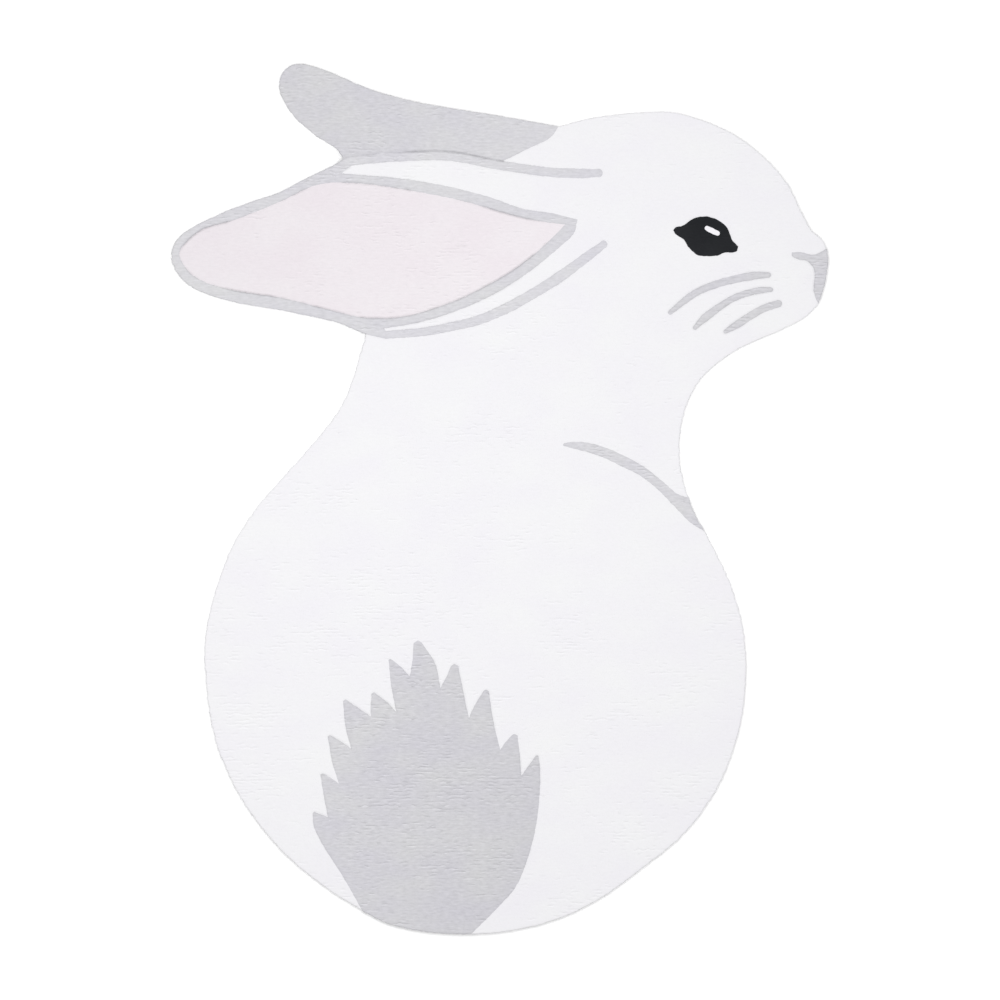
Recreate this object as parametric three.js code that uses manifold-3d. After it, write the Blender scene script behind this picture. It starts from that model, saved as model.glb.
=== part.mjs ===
// A rug in the shape of a rabbit seen from behind with its head turned, tufted in one piece.
// It lies flat: a slab of short cut pile on its base cloth, with a rounded rim, and a narrow
// groove carved into the pile along each line where two yarn colours meet.
// Millimetres, +Z up. x runs towards the nose and y towards the ears. The origin is on the
// surface the rug lies on, under the middle of its length and width.
import * as THREE from 'three';
import { mergeVertices } from 'three/addons/utils/BufferGeometryUtils.js';
import Module from 'manifold-3d';

// Driving dimensions. The tables below draw the rug nearly at this length, and the finished
// shape is scaled to it and centred on the origin.
const RUG_LENGTH = 1200;
const THICKNESS = 12; // base cloth and pile together
const GROOVE_WIDTH = 3.2; // at the top of the pile
const GROOVE_DEPTH = 3;
const EDGE_STEP = 11; // spacing of the points along the rug's edge
const GROOVE_STEP = 11; // spacing of the points along a groove
const GROOVE_END_SIDES = 8; // of the cone that rounds off a groove
const SHARPEST_MITRE = 0.5; // keeps an offset line from running far out at a sharp bend
const PILE_COLOUR = 0xf1f0f3;
const PILE_ROUGHNESS = 0.95;

// The rim from the base cloth up: how high each ring is, and how far inside the widest one
const RIM = [
  { height: 0, inset: 2 },
  { height: 2, inset: 2 },
  { height: 4.5, inset: 0 },
  { height: 9.5, inset: 0.8 },
  { height: THICKNESS, inset: 3.8 },
];

// Corners of the edge
const NOTCH_BETWEEN_EARS = { x: -215, y: 465 };
const NOTCH_AT_NECK = { x: -183, y: 224.5 };
const REAR_EAR_JOINT = { x: 80, y: 509.5 };

// The front ear, from its root to its tip: upper and lower edge at each x
const FRONT_EAR = [
  { x: -224, top: 458.5, bottom: 241 },
  { x: -268, top: 437, bottom: 251 },
  { x: -301, top: 419.5, bottom: 258 },
  { x: -334, top: 408.5, bottom: 263 },
  { x: -378, top: 392, bottom: 272.5 },
  { x: -421, top: 371, bottom: 288.5 },
  { x: -442, top: 355, bottom: 308 },
];
const FRONT_EAR_TIP = { x: -450, y: 332 };

// The neck, back and haunches, from the neck down: left and right edge at each y
const BODY = [
  { y: 135, left: -213, right: 258 },
  { y: 85, left: -247.5, right: 246 },
  { y: 36, left: -291, right: 248 },
  { y: -13, left: -333, right: 263 },
  { y: -63, left: -365.5, right: 289.5 },
  { y: -128, left: -390, right: 319 },
  { y: -194, left: -404, right: 334.5 },
  { y: -260, left: -402, right: 335.5 },
  { y: -325, left: -391.5, right: 325 },
  { y: -391, left: -365.5, right: 300 },
  { y: -457, left: -322, right: 254 },
  { y: -506, left: -274, right: 195 },
  { y: -554, left: -207, right: 127 },
  { y: -585, left: -145, right: 50 },
];
const LOWEST_POINT = { x: -44, y: -597 };

// The head's profile, from the throat round the muzzle to the crown
const HEAD = [
  { x: 279.5, y: 168.5 },
  { x: 321.5, y: 202 },
  { x: 389, y: 232.5 },
  { x: 416.5, y: 247 },
  { x: 433, y: 263.5 },
  { x: 442, y: 284 },
  { x: 447, y: 308 },
  { x: 448.5, y: 336 },
  { x: 441.5, y: 354 },
  { x: 426, y: 368 },
  { x: 410, y: 397 },
  { x: 393.5, y: 430 },
  { x: 366, y: 463 },
  { x: 322.5, y: 497 },
  { x: 280, y: 516.5 },
  { x: 236, y: 528.5 },
  { x: 181, y: 527.5 },
  { x: 126, y: 521 },
];

// The rear ear: its upper edge out to the tip, and its lower edge back to the notch
const REAR_EAR_TOP = [
  { x: -5, y: 524.5 },
  { x: -109, y: 542 },
  { x: -180, y: 561 },
  { x: -239, y: 586 },
  { x: -269, y: 595 },
  { x: -286, y: 593 },
];
const REAR_EAR_TIP = { x: -297, y: 584 };
const REAR_EAR_BOTTOM = [
  { x: -302.5, y: 567 },
  { x: -298.5, y: 548.5 },
  { x: -284, y: 525 },
  { x: -254, y: 498 },
  { x: -223, y: 477 },
];

// The line from the edge down to the upper ear line, where the grey rear ear meets the head
const REAR_EAR_ROOT = [
  { x: 84, y: 518 },
  { x: 70, y: 495 },
  { x: 45, y: 482 },
  { x: 4, y: 462 },
];

// The pink inside of the front ear, from its tip to its root, which ends in a corner
const INNER_EAR = [
  { x: -428, top: 353, bottom: 312 },
  { x: -406, top: 369, bottom: 297 },
  { x: -365, top: 381, bottom: 285 },
  { x: -302, top: 406, bottom: 275 },
  { x: -248, top: 430, bottom: 262 },
  { x: -189, top: 431, bottom: 248 },
  { x: -132, top: 423, bottom: 249 },
  { x: -63, top: 410, bottom: 270 },
  { x: -25, top: 400, bottom: 288 },
  { x: 12, top: 389, bottom: 309 },
  { x: 51, top: 380, bottom: 338 },
];
const INNER_EAR_TIP = { x: -439, y: 336 };
const INNER_EAR_CORNER = { x: 89.5, y: 375 };

// The grey rim round the inner ear, on the side of the head
const EAR_RIM_TOP = [
  { x: -217, y: 445 },
  { x: -145, y: 439 },
  { x: -80, y: 429 },
  { x: -18, y: 413.5 },
  { x: 32, y: 396.5 },
  { x: 71, y: 390.5 },
];
const EAR_RIM_CORNER = { x: 106, y: 382 };
const EAR_RIM_BOTTOM = [
  { x: 101, y: 363 },
  { x: 84, y: 346.5 },
  { x: 47, y: 315.5 },
  { x: -4, y: 282 },
  { x: -55, y: 258.5 },
  { x: -107, y: 242 },
  { x: -159, y: 232.5 },
];

// Narrow bands of yarn: places on the middle line, and the band's width there
const UPPER_EAR_LINE = [
  { x: -204, y: 462, width: 12 },
  { x: -149, y: 467, width: 12.5 },
  { x: -75, y: 469, width: 12.5 },
  { x: -45, y: 465, width: 12.5 },
  { x: -17, y: 459, width: 12.5 },
  { x: 21, y: 453, width: 12.5 },
  { x: 66, y: 447, width: 13 },
  { x: 104, y: 445, width: 13.5 },
  { x: 135, y: 445.5, width: 11 },
];
const LOWER_EAR_LINE = [
  { x: -156, y: 224, width: 10.5 },
  { x: -106, y: 228, width: 11.5 },
  { x: -68, y: 235, width: 12 },
  { x: -30, y: 244, width: 13 },
  { x: 8, y: 260, width: 14 },
  { x: 46, y: 281, width: 14 },
  { x: 84, y: 305, width: 14.5 },
  { x: 122, y: 333, width: 12.5 },
  { x: 142, y: 348, width: 10 },
];
const THIGH_LINE = [
  { x: 89, y: 73.5, width: 5 },
  { x: 104, y: 72.5, width: 10 },
  { x: 123, y: 69, width: 12.5 },
  { x: 147, y: 61, width: 14 },
  { x: 170, y: 50, width: 14.5 },
  { x: 193, y: 38, width: 13 },
  { x: 216, y: 20.5, width: 12.5 },
  { x: 239, y: -0.5, width: 15.5 },
  { x: 254, y: -10, width: 25 },
  { x: 269, y: -17.5, width: 36 },
  { x: 290, y: -27, width: 42 },
];
const WHISKERS = [
  [
    { x: 233, y: 254.5, width: 6 },
    { x: 251, y: 269.5, width: 9 },
    { x: 268, y: 281.5, width: 9.5 },
    { x: 300, y: 294.5, width: 10 },
    { x: 345, y: 304.5, width: 11 },
    { x: 367, y: 306, width: 8 },
  ],
  [
    { x: 267, y: 234, width: 6 },
    { x: 280, y: 246.5, width: 10.5 },
    { x: 314, y: 271, width: 9 },
    { x: 335, y: 280, width: 9 },
    { x: 357, y: 285, width: 8.5 },
    { x: 371, y: 286, width: 6 },
  ],
  [
    { x: 309, y: 228.5, width: 6 },
    { x: 322, y: 236.5, width: 10 },
    { x: 359, y: 259, width: 10 },
    { x: 381, y: 266.5, width: 10 },
  ],
];

// The eye: an upper and a lower lid line between its two corners, and the glint in it
const EYE_FRONT_CORNER = { x: 326, y: 345 };
const EYE_REAR_CORNER = { x: 237, y: 367 };
const UPPER_LID = [
  { x: 240.5, y: 371 },
  { x: 250, y: 373.3 },
  { x: 260, y: 380.5 },
  { x: 268, y: 384.7 },
  { x: 283, y: 386 },
  { x: 299, y: 380.7 },
  { x: 310.5, y: 371 },
  { x: 315, y: 361 },
  { x: 318, y: 353.5 },
];
const LOWER_LID = [
  { x: 323.5, y: 338.5 },
  { x: 315, y: 336.5 },
  { x: 307, y: 336.5 },
  { x: 300, y: 333 },
  { x: 283, y: 331.5 },
  { x: 270, y: 333.5 },
  { x: 257.5, y: 344.5 },
  { x: 251, y: 355 },
  { x: 241, y: 361 },
];
const EYE_GLINT = [
  { x: 283, y: 370, width: 6 },
  { x: 290.5, y: 366.3, width: 7.4 },
  { x: 298, y: 362.5, width: 6.2 },
];

// The grey nose at the muzzle's front: its upper edge, and its edge towards the cheek
const NOSE_TIP = { x: 399, y: 337 };
const NOSE_TOP = [
  { x: 458, y: 350 },
  { x: 440, y: 338 },
  { x: 429, y: 333.5 },
  { x: 413, y: 337 },
];
const NOSE_CHEEK_SIDE = [
  { x: 400, y: 331.5 },
  { x: 410, y: 327 },
  { x: 421, y: 324.5 },
  { x: 430, y: 313 },
  { x: 430, y: 281 },
  { x: 444, y: 252 },
];

// The tail: its left side, one row for each tooth of fur along its top, and its right side.
// A tooth has a blunt tip, given by the middle of its top and its width. It falls from there to a
// notch, and then the fur rises to the next tip. fall and rise say how far these sides bow
// outwards, as parts of their lengths.
const TAIL_LEFT_SIDE = [
  { x: -181, y: -579 },
  { x: -213, y: -522 },
  { x: -246, y: -469 },
  { x: -256, y: -447 },
];
const TAIL_TEETH = [
  { tipX: -254, tipY: -429.5, tipWidth: 5, fall: 0, notchX: -236, notchY: -436.5, rise: 0.01 },
  { tipX: -243, tipY: -376.5, tipWidth: 6, fall: 0.04, notchX: -221, notchY: -391, rise: 0.03 },
  { tipX: -233, tipY: -324.5, tipWidth: 6, fall: 0.02, notchX: -204, notchY: -343, rise: 0.04 },
  { tipX: -212, tipY: -275.5, tipWidth: 6, fall: 0, notchX: -177, notchY: -299, rise: 0.02 },
  { tipX: -173, tipY: -266, tipWidth: 6, fall: 0.04, notchX: -142, notchY: -293, rise: 0.02 },
  { tipX: -150, tipY: -220, tipWidth: 6, fall: 0.04, notchX: -124, notchY: -244, rise: -0.03 },
  { tipX: -112.5, tipY: -195, tipWidth: 12, fall: 0.09, notchX: -82, notchY: -260, rise: -0.03 },
  { tipX: -62.5, tipY: -227, tipWidth: 10, fall: 0, notchX: -43, notchY: -301, rise: 0.03 },
  { tipX: -19, tipY: -262, tipWidth: 7, fall: -0.02, notchX: 0, notchY: -345, rise: 0.03 },
  { tipX: 19.5, tipY: -322.5, tipWidth: 9, fall: 0.01, notchX: 29, notchY: -380, rise: 0 },
];
const LAST_TOOTH = { tipX: 50.5, tipY: -352, tipWidth: 5 };
const TIP_DROP = 0.3; // how far a tip's ends lie below its top, as part of its width
const TAIL_RIGHT_SIDE = [
  { x: 55, y: -380 },
  { x: 51, y: -436 },
  { x: 40, y: -486 },
  { x: 22, y: -531 },
  { x: 0, y: -557 },
  { x: -49, y: -606 },
];

// Points spaced evenly along the smooth curve through the given places
function smoothPath(places, step) {
  const knots = places.map(({ x, y, width = 0 }) => new THREE.Vector3(x, y, width));
  const curve = new THREE.CatmullRomCurve3(knots, false, 'centripetal');
  const spans = Math.max(1, Math.round(curve.getLength() / step));
  return curve.getSpacedPoints(spans).map((point) => ({ x: point.x, y: point.y, width: point.z }));
}

// Joins stretches end to end, each starting where the one before it ended
function joinStretches(stretches) {
  return stretches.flatMap((stretch, i) => (i === 0 ? stretch : stretch.slice(1)));
}

// The unit vector to the left of the path at one of its points, lengthened where it bends so
// that a line offset by it keeps its distance to both sides of the bend
function leftAt(path, i, closed) {
  const last = path.length - 1;
  const before = path[i > 0 ? i - 1 : closed ? last : 0];
  const after = path[i < last ? i + 1 : closed ? 0 : last];
  const here = path[i];
  const inward = new THREE.Vector2(here.x - before.x, here.y - before.y).normalize();
  const outward = new THREE.Vector2(after.x - here.x, after.y - here.y).normalize();
  const mean = inward.clone().add(outward).normalize();
  const reference = inward.lengthSq() > 0 ? inward : outward;
  const stretchBy = 1 / Math.max(SHARPEST_MITRE, mean.dot(reference));
  return { x: -mean.y * stretchBy, y: mean.x * stretchBy };
}

function offsetPath(path, distance, closed) {
  return path.map((point, i) => {
    const left = leftAt(path, i, closed);
    return { x: point.x + left.x * distance, y: point.y + left.y * distance };
  });
}

// The rug's edge, counter-clockwise from the notch between the ears
function rugEdge() {
  const frontEar = [
    NOTCH_BETWEEN_EARS,
    ...FRONT_EAR.map(({ x, top }) => ({ x, y: top })),
    FRONT_EAR_TIP,
    ...FRONT_EAR.toReversed().map(({ x, bottom }) => ({ x, y: bottom })),
    NOTCH_AT_NECK,
  ];
  const bodyAndHead = [
    NOTCH_AT_NECK,
    ...BODY.map(({ y, left }) => ({ x: left, y })),
    LOWEST_POINT,
    ...BODY.toReversed().map(({ y, right }) => ({ x: right, y })),
    ...HEAD,
    REAR_EAR_JOINT,
  ];
  const rearEar = [
    REAR_EAR_JOINT,
    ...REAR_EAR_TOP,
    REAR_EAR_TIP,
    ...REAR_EAR_BOTTOM,
    NOTCH_BETWEEN_EARS,
  ];
  const stretches = [frontEar, bodyAndHead, rearEar].map((places) => smoothPath(places, EDGE_STEP));
  return joinStretches(stretches).slice(0, -1);
}

function closedGeometry(positions, triangles) {
  const geometry = new THREE.BufferGeometry();
  geometry.setAttribute('position', new THREE.Float32BufferAttribute(positions, 3));
  geometry.setIndex(triangles);
  return geometry;
}

// The slab: one ring of points for each row of the rim, closed underneath and on top
function slabGeometry(edge) {
  const count = edge.length;
  const rings = RIM.map(({ height, inset }) =>
    offsetPath(edge, inset, true).map(({ x, y }) => new THREE.Vector3(x, y, height)),
  );
  const positions = rings.flat().flatMap(({ x, y, z }) => [x, y, z]);
  const capOf = (ring) => THREE.ShapeUtils.triangulateShape(ring, []);
  const topStart = (rings.length - 1) * count;
  const triangles = capOf(rings[0]).flatMap(([a, b, c]) => [a, c, b]);
  for (let ring = 0; ring < rings.length - 1; ring += 1) {
    for (let i = 0; i < count; i += 1) {
      const next = (i + 1) % count;
      const [low, lowNext] = [ring * count + i, ring * count + next];
      const [high, highNext] = [low + count, lowNext + count];
      triangles.push(low, lowNext, highNext, low, highNext, high);
    }
  }
  capOf(rings.at(-1)).forEach((corners) => triangles.push(...corners.map((i) => topStart + i)));
  return closedGeometry(positions, triangles);
}

// The cutter for a groove starts this far above the pile and widens at the groove's own slope
const CUTTER_RISE = 1;
const CUTTER_HALF_WIDTH = (GROOVE_WIDTH / 2) * (1 + CUTTER_RISE / GROOVE_DEPTH);
const CUTTER_TOP = THICKNESS + CUTTER_RISE;
const CUTTER_BOTTOM = THICKNESS - GROOVE_DEPTH;

// A V-shaped cutter along a path, as a closed ring or with two flat ends
function grooveCutter(path, closed) {
  const left = offsetPath(path, CUTTER_HALF_WIDTH, closed);
  const right = offsetPath(path, -CUTTER_HALF_WIDTH, closed);
  const positions = path.flatMap((point, i) => [
    left[i].x, left[i].y, CUTTER_TOP,
    point.x, point.y, CUTTER_BOTTOM,
    right[i].x, right[i].y, CUTTER_TOP,
  ]);
  const triangles = [];
  const spans = closed ? path.length : path.length - 1;
  for (let i = 0; i < spans; i += 1) {
    const here = i * 3;
    const next = ((i + 1) % path.length) * 3;
    for (let side = 0; side < 3; side += 1) {
      const other = (side + 1) % 3;
      triangles.push(here + side, next + side, next + other);
      triangles.push(here + side, next + other, here + other);
    }
  }
  if (!closed) {
    const end = spans * 3;
    triangles.push(0, 1, 2, end, end + 2, end + 1);
  }
  return closedGeometry(positions, triangles);
}

// A cone that rounds off a groove where it ends or turns a corner
function grooveEnd({ x, y }) {
  const height = CUTTER_TOP - CUTTER_BOTTOM;
  const cone = new THREE.ConeGeometry(CUTTER_HALF_WIDTH, height, GROOVE_END_SIDES);
  cone.rotateX(-Math.PI / 2);
  cone.translate(x, y, CUTTER_BOTTOM + height / 2);
  cone.deleteAttribute('normal');
  cone.deleteAttribute('uv');
  return mergeVertices(cone);
}

// Cutters for a line made of smooth stretches that meet at corners
function carvedStretches(stretches) {
  return stretches.flatMap((places) => {
    const path = smoothPath(places, GROOVE_STEP);
    return [grooveCutter(path, false), grooveEnd(path[0]), grooveEnd(path.at(-1))];
  });
}

// Three points on the half circle round the end of a band's middle line
function roundEnd(end, direction) {
  const turns = [-1, 0, 1].map((step) => direction + (step * Math.PI) / 3);
  const radius = end.width / 2;
  return turns.map((angle) => ({
    x: end.x + radius * Math.cos(angle),
    y: end.y + radius * Math.sin(angle),
  }));
}

// Both edges of a band: out along its right edge, round its end, and back along its left edge
function bandEdges(places) {
  const middle = smoothPath(places, GROOVE_STEP);
  const edgeOn = (side) =>
    middle.map((point, i) => {
      const left = leftAt(middle, i, false);
      const reach = (side * point.width) / 2;
      return { x: point.x + left.x * reach, y: point.y + left.y * reach };
    });
  const [beforeEnd, end] = middle.slice(-2);
  const direction = Math.atan2(end.y - beforeEnd.y, end.x - beforeEnd.x);
  return [...edgeOn(-1), ...roundEnd(end, direction), ...edgeOn(1).toReversed()];
}

// Cutters round a band that stands alone, such as a whisker
function carvedRound(places) {
  const [start, afterStart] = smoothPath(places, GROOVE_STEP);
  const backwards = Math.atan2(start.y - afterStart.y, start.x - afterStart.x);
  return grooveCutter([...bandEdges(places), ...roundEnd(start, backwards)], true);
}

// A side of a tooth of fur, bowed to the left of the straight line by part of its length
function bowedSide(from, to, bow) {
  const [dx, dy] = [to.x - from.x, to.y - from.y];
  const middle = {
    x: (from.x + to.x) / 2 - dy * bow,
    y: (from.y + to.y) / 2 + dx * bow,
  };
  return [from, middle, to];
}

// The blunt tip of a tooth, from its left end over its top to its right end
function bluntTip({ tipX, tipY, tipWidth }) {
  const [reach, drop] = [tipWidth / 2, tipWidth * TIP_DROP];
  return [
    { x: tipX - reach, y: tipY - drop },
    { x: tipX, y: tipY },
    { x: tipX + reach, y: tipY - drop },
  ];
}

// The tail's edge: up its left side, from tooth to tooth, and down its right side
function tailStretches() {
  const tips = [...TAIL_TEETH, LAST_TOOTH].map(bluntTip);
  const stretches = [[...TAIL_LEFT_SIDE, tips[0][0]], tips[0]];
  TAIL_TEETH.forEach(({ notchX, notchY, fall, rise }, i) => {
    const notch = { x: notchX, y: notchY };
    const following = tips[i + 1];
    stretches.push(bowedSide(tips[i].at(-1), notch, fall));
    stretches.push(bowedSide(notch, following[0], rise));
    stretches.push(following);
  });
  stretches.push([tips.at(-1).at(-1), ...TAIL_RIGHT_SIDE]);
  return stretches;
}

function earCutters() {
  const innerTop = INNER_EAR.toReversed().map(({ x, top }) => ({ x, y: top }));
  const innerBottom = INNER_EAR.map(({ x, bottom }) => ({ x, y: bottom }));
  const innerEar = [INNER_EAR_CORNER, ...innerTop, INNER_EAR_TIP, ...innerBottom, INNER_EAR_CORNER];
  const rimTop = [...EAR_RIM_TOP, EAR_RIM_CORNER];
  const rimBottom = [EAR_RIM_CORNER, ...EAR_RIM_BOTTOM];
  const upperLine = bandEdges(UPPER_EAR_LINE).toReversed();
  const lowerLine = bandEdges(LOWER_EAR_LINE).toReversed();
  return [
    ...carvedStretches([REAR_EAR_ROOT, innerEar, rimTop, rimBottom]),
    grooveCutter([NOTCH_BETWEEN_EARS, ...upperLine, EAR_RIM_TOP[0]], false),
    grooveCutter([EAR_RIM_BOTTOM.at(-1), ...lowerLine, NOTCH_AT_NECK], false),
  ];
}

function faceCutters() {
  const upperLid = [EYE_REAR_CORNER, ...UPPER_LID, EYE_FRONT_CORNER];
  const lowerLid = [EYE_FRONT_CORNER, ...LOWER_LID, EYE_REAR_CORNER];
  const noseTop = [...NOSE_TOP, NOSE_TIP];
  const noseCheekSide = [NOSE_TIP, ...NOSE_CHEEK_SIDE];
  return [
    ...carvedStretches([upperLid, lowerLid, noseTop, noseCheekSide]),
    carvedRound(EYE_GLINT),
    ...WHISKERS.map(carvedRound),
  ];
}

function bodyCutters() {
  return [grooveCutter(bandEdges(THIGH_LINE.toReversed()), false), ...carvedStretches(tailStretches())];
}

// Cuts closed shapes out of a closed shape and drops any loose chip that two cuts free
async function cutAway(body, cutters) {
  const wasm = await Module();
  wasm.setup();
  const solidOf = (geometry) => {
    const vertProperties = new Float32Array(geometry.attributes.position.array);
    const triVerts = new Uint32Array(geometry.index.array);
    return new wasm.Manifold(new wasm.Mesh({ numProp: 3, vertProperties, triVerts }));
  };
  const cut = cutters.reduce((rest, cutter) => rest.subtract(solidOf(cutter)), solidOf(body));
  const [largest] = cut.decompose().sort((one, other) => other.volume() - one.volume());
  const { vertProperties, triVerts } = largest.getMesh();
  return closedGeometry(vertProperties, Array.from(triVerts));
}

// Scales the drawn shape to the rug's length and centres it on the origin, its height unchanged
function fitToLength(geometry) {
  geometry.computeBoundingBox();
  const { min, max } = geometry.boundingBox;
  const scale = RUG_LENGTH / (max.y - min.y);
  geometry.translate(-(min.x + max.x) / 2, -(min.y + max.y) / 2, 0);
  geometry.scale(scale, scale, 1);
  return geometry;
}

const slab = slabGeometry(rugEdge());
const carvedSlab = await cutAway(slab, [...earCutters(), ...faceCutters(), ...bodyCutters()]);

const pile = new THREE.MeshStandardMaterial({
  color: PILE_COLOUR,
  roughness: PILE_ROUGHNESS,
  metalness: 0,
  flatShading: true,
});
const rug = new THREE.Mesh(fitToLength(carvedSlab), pile);
rug.name = 'rug';

const model = new THREE.Group();
model.add(rug);

export default model;
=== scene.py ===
# The rabbit shaped rug as it looks: short cut pile in four yarn colours on a woven base cloth,
# laid flat and seen from straight above. Shapes are worked out in millimetres in the rug's own
# frame, +x towards the nose and +y towards the ears, and become metres as a piece is made.
import math

import bpy
import numpy as np
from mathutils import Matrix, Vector
from mathutils.geometry import delaunay_2d_cdt


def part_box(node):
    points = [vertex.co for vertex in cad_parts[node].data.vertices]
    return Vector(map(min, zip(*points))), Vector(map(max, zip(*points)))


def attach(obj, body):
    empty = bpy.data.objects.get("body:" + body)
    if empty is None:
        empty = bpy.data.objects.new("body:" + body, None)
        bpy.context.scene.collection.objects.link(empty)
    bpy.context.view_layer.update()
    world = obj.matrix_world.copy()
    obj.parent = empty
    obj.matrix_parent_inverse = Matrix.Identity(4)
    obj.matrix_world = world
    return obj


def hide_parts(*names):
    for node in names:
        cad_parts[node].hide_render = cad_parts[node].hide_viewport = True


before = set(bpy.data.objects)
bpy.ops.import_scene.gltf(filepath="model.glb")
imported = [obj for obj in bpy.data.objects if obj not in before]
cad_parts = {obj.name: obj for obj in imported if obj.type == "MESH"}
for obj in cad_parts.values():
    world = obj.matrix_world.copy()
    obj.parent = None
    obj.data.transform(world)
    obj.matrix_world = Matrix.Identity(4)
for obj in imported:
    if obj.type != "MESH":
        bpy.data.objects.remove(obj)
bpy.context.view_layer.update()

MM = 0.001

# The pile
THICKNESS = 12.0  # of the whole rug
ROW_PITCH = 4.6  # between the rows of tufts, which run along x
ROW_SHARE = 4  # lines of points in a row
ALONG_STEP = 1.62  # spacing of the points along a row
EDGE_STEP = 1.5  # spacing of the points along the rug's edge and the carved lines
CLEAR_OF_LINES = 0.55  # how near a line the other points may come
CURVE_PARTS = 24  # of a curve between two places, before its points are spaced evenly
SHARPEST_MITRE = 0.5  # keeps an offset line from running far out at a sharp bend
RIM_WIDTH = 3.2  # of the rounded rim
RIM_DROP = 1.1
RIM_ROWS = 16.0  # how far in from the edge the rows part more
GROOVE_HALF_WIDTH = 1.6
GROOVE_DEPTH = 3.0
ROW_DEPTH = 0.06  # of the faint hollow between any two rows
ROW_WAVER = 1.1  # how far a single row strays from its neighbours
PARTING_DEPTH = 0.5  # where the pile parts between two rows
DASH_LENGTH = 9.0  # of a parting along its row
DASH_RAMP = (0.8, 1.5)  # the noise at which a parting starts, and at which it is full
CROWDING = 0.7  # how strongly partings keep together in patches
TUFT_SIZE = 3.0
TUFT_RISE = 0.1
LIP_RISE = 0.1  # how far the pile stands up on the lower side of a parting
PLACE_JITTER = 0.2  # how far a point strays along its row
YARN_STRAY = 0.4  # how far yarn strays from a drawn line
ROW_END_REACH = 0.6  # how far a row's end stands in or out of the edge
SIDE_TUFT_REACH = 0.3  # how far tufts stand out of the side
SIDE_TUFT_SIZE = 1.4

# Tone with painted light: each area's lightness plus painted shade and painted highlight, above 0
# lighter, below 0 darker
# Painted shade darkens a parting, and a painted highlight lightens the lip below it
PARTING_SHADE = 0.85  # of a parting, and of the lip below it
# Painted shade in a carved groove, on top of the shade its real depth casts
GROOVE_SHADE = 0.9
# Painted shade on the side of the pile, under the rounded rim
SIDE_PAINTED_SHADE = -0.3
RIM_PARTING = 0.4  # added to the share of parted rows at the rim
LEAST_CARVING = 0.15  # of a groove's depth where it is carved least

# How deep a line is carved, as a share of GROOVE_DEPTH
DEEP, SHALLOW, FAINT, UNCARVED = 0.8, 0.4, 0.3, 0.0

# How much the rows of white pile part, from the haunches up to the ears: y, share
WHITE_PARTING = [(-600, 0.45), (-200, 0.45), (50, 0.3), (200, 0.1), (600, 0.05)]

# The side of the pile, from below the rounded rim down to the cloth: height and inset
SIDE_RINGS = [(6.6, 0.1), (4.4, 0.35), (2.8, 1.0), (1.5, 2.4)]

# The base cloth
CLOTH_THICKNESS = 1.6
CLOTH_INSET = 2.4
CLOTH_STEP = 7.0
THREAD_PITCH = 1.4
CLOTH_TONES = [(0.52, 0.49, 0.43), (0.63, 0.6, 0.54)]

# The studio, in metres
FLOOR_HALF_SIZE = 6.0
FLOOR_GAP = 0.0003  # under the rug
FLOOR_COLOUR = (0.96, 0.96, 0.96)
VIEW_WIDTH = 1.3784  # of the floor that the photograph shows
VIEW_CENTRE = (0.00033, -0.0014)
LENS = 200  # in millimetres

# The tables below draw the rug in its drawn frame, which is then fitted to the CAD model's box.
# Corners of the edge: x, y
NOTCH_BETWEEN_EARS = (-215, 465)
NOTCH_AT_NECK = (-183, 224.5)
REAR_EAR_JOINT = (80, 509.5)

# The front ear, from its root to its tip: x, upper edge, lower edge
FRONT_EAR = [
    (-224, 458.5, 241), (-268, 437, 251), (-301, 419.5, 258), (-334, 408.5, 263), (-378, 392, 272.5),
    (-421, 371, 288.5), (-442, 355, 308),
]
FRONT_EAR_TIP = (-450, 332)

# The neck, back and haunches, from the neck down: y, left edge, right edge
BODY = [
    (135, -213, 258), (85, -247.5, 246), (36, -291, 248), (-13, -333, 263), (-63, -365.5, 289.5),
    (-128, -390, 319), (-194, -404, 334.5), (-260, -402, 335.5), (-325, -391.5, 325),
    (-391, -365.5, 300), (-457, -322, 254), (-506, -274, 195), (-554, -207, 127),
    (-585, -145, 50),
]
LOWEST_POINT = (-44, -597)

# The head's profile, from the throat round the muzzle to the crown: x, y
HEAD = [
    (279.5, 168.5), (321.5, 202), (389, 232.5), (416.5, 247), (433, 263.5), (442, 284), (447, 308),
    (448.5, 336), (441.5, 354), (426, 368), (410, 397), (393.5, 430), (366, 463), (322.5, 497),
    (280, 516.5), (236, 528.5), (181, 527.5), (126, 521),
]

# The rear ear: x, y along its upper edge out to the tip, and along its lower edge back
REAR_EAR_TOP = [(-5, 524.5), (-109, 542), (-180, 561), (-239, 586), (-269, 595), (-286, 593)]
REAR_EAR_TIP = (-297, 584)
REAR_EAR_BOTTOM = [(-302.5, 567), (-298.5, 548.5), (-284, 525), (-254, 498), (-223, 477)]

# Where the grey rear ear meets the white head: x, y
REAR_EAR_ROOT = [(84, 518), (70, 495), (45, 482), (4, 462)]

# The pink inside of the front ear, from its tip to its root: x, upper edge, lower edge
INNER_EAR = [
    (-428, 353, 312), (-406, 369, 297), (-365, 381, 285), (-302, 406, 275), (-248, 430, 262),
    (-189, 431, 248), (-132, 423, 249), (-63, 410, 270), (-25, 400, 288), (12, 389, 309),
    (51, 380, 338),
]
INNER_EAR_TIP = (-439, 336)
INNER_EAR_CORNER = (89.5, 375)

# The grey rim round the inner ear, on the side of the head: x, y
EAR_RIM_TOP = [(-217, 445), (-145, 439), (-80, 429), (-18, 413.5), (32, 396.5), (71, 390.5)]
EAR_RIM_CORNER = (106, 382)
EAR_RIM_BOTTOM = [
    (101, 363), (84, 346.5), (47, 315.5), (-4, 282), (-55, 258.5), (-107, 242), (-159, 232.5),
]

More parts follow.
